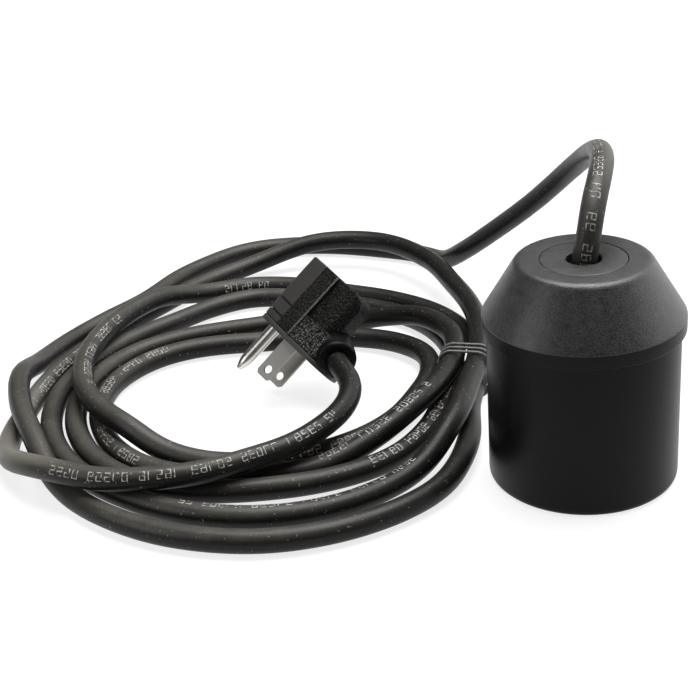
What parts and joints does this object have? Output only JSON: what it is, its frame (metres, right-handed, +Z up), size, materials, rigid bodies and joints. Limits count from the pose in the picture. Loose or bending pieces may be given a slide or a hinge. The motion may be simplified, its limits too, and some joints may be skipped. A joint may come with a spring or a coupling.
{
  "type": "tethered pump float switch",
  "caption": "Tethered float switch for a pump: sealed round float on a coiled rubber cord that ends in a piggyback mains plug.",
  "frame": {"origin": "centre of the float's base, on the surface that the object stands on", "axes": "+Z up along the float's axis; the coil of cord lies towards -X and +Y of the float"},
  "size_m": [0.235, 0.2507, 0.1002],
  "materials": {
    "shell": "matte",
    "plate": "satin",
    "soft_rubber": "satin",
    "foam": "matte",
    "capsule": "satin",
    "steel": "satin",
    "phenolic": "gloss",
    "brass": "satin",
    "plated": "polished",
    "core_black": "satin",
    "core_white": "satin",
    "cord": "satin",
    "tie": "satin",
    "plug": "matte"
  },
  "bodies": {
    "housing": {"float_body": "shell", "float_cap": "shell", "seal_ring": "soft_rubber", "retainer_disc": "plate", "cord_gland": "soft_rubber", "potting_plug": "soft_rubber", "foam_core": "foam", "capsule_body": "capsule", "capsule_cover": "capsule", "switch_case": "phenolic", "switch_cover": "phenolic", "switch_bracket": "steel", "switch_screws": "steel", "lever_pin": "steel", "common_terminal": "brass", "open_terminal": "brass", "crimp_sleeves": "plated", "float_conductor_line": "core_black", "float_conductor_load": "core_white", "cord_lead": "cord", "cord_coil": "cord", "cord_tail": "cord", "cord_tie": "tie", "strain_relief": "soft_rubber", "front_plate": "plate", "plug_moulding": "plug", "line_blade": "plated", "switched_contact": "brass", "neutral_strap": "plated", "ground_pin": "plated", "plug_conductor_line": "core_black", "plug_conductor_load": "core_white"},
    "ball": {"steel_ball": "steel"},
    "lever": {"actuator_lever": "steel"},
    "plunger": {"plunger": "capsule"},
    "blade": {"moving_blade": "brass"}
  },
  "joints": [
    {"name": "ball_slide", "type": "slide", "parent": "housing", "child": "ball", "axis": [0, 0, 1], "range_m": [0, 0.0122]},
    {"name": "lever_hinge", "type": "hinge", "parent": "housing", "child": "lever", "pos_m": [0.0085, 0, 0.041], "axis": [0, 1, 0], "range_deg": [0, 5], "stiffness_Nm_per_rad": 0.01, "springref_deg": -2.86},
    {"name": "plunger_slide", "type": "slide", "parent": "housing", "child": "plunger", "axis": [0, 0, 1], "range_m": [0, 0.00083]},
    {"name": "blade_hinge", "type": "hinge", "parent": "housing", "child": "blade", "pos_m": [0.0076, 0, 0.04515], "axis": [0, 1, 0], "range_deg": [0, 5.53]}
  ],
  "couplings": [
    {"joint": "plunger_slide", "follows": "lever_hinge", "m_per_rad": 0.0095},
    {"joint": "blade_hinge", "follows": "lever_hinge", "ratio": 1.1047}
  ]
}
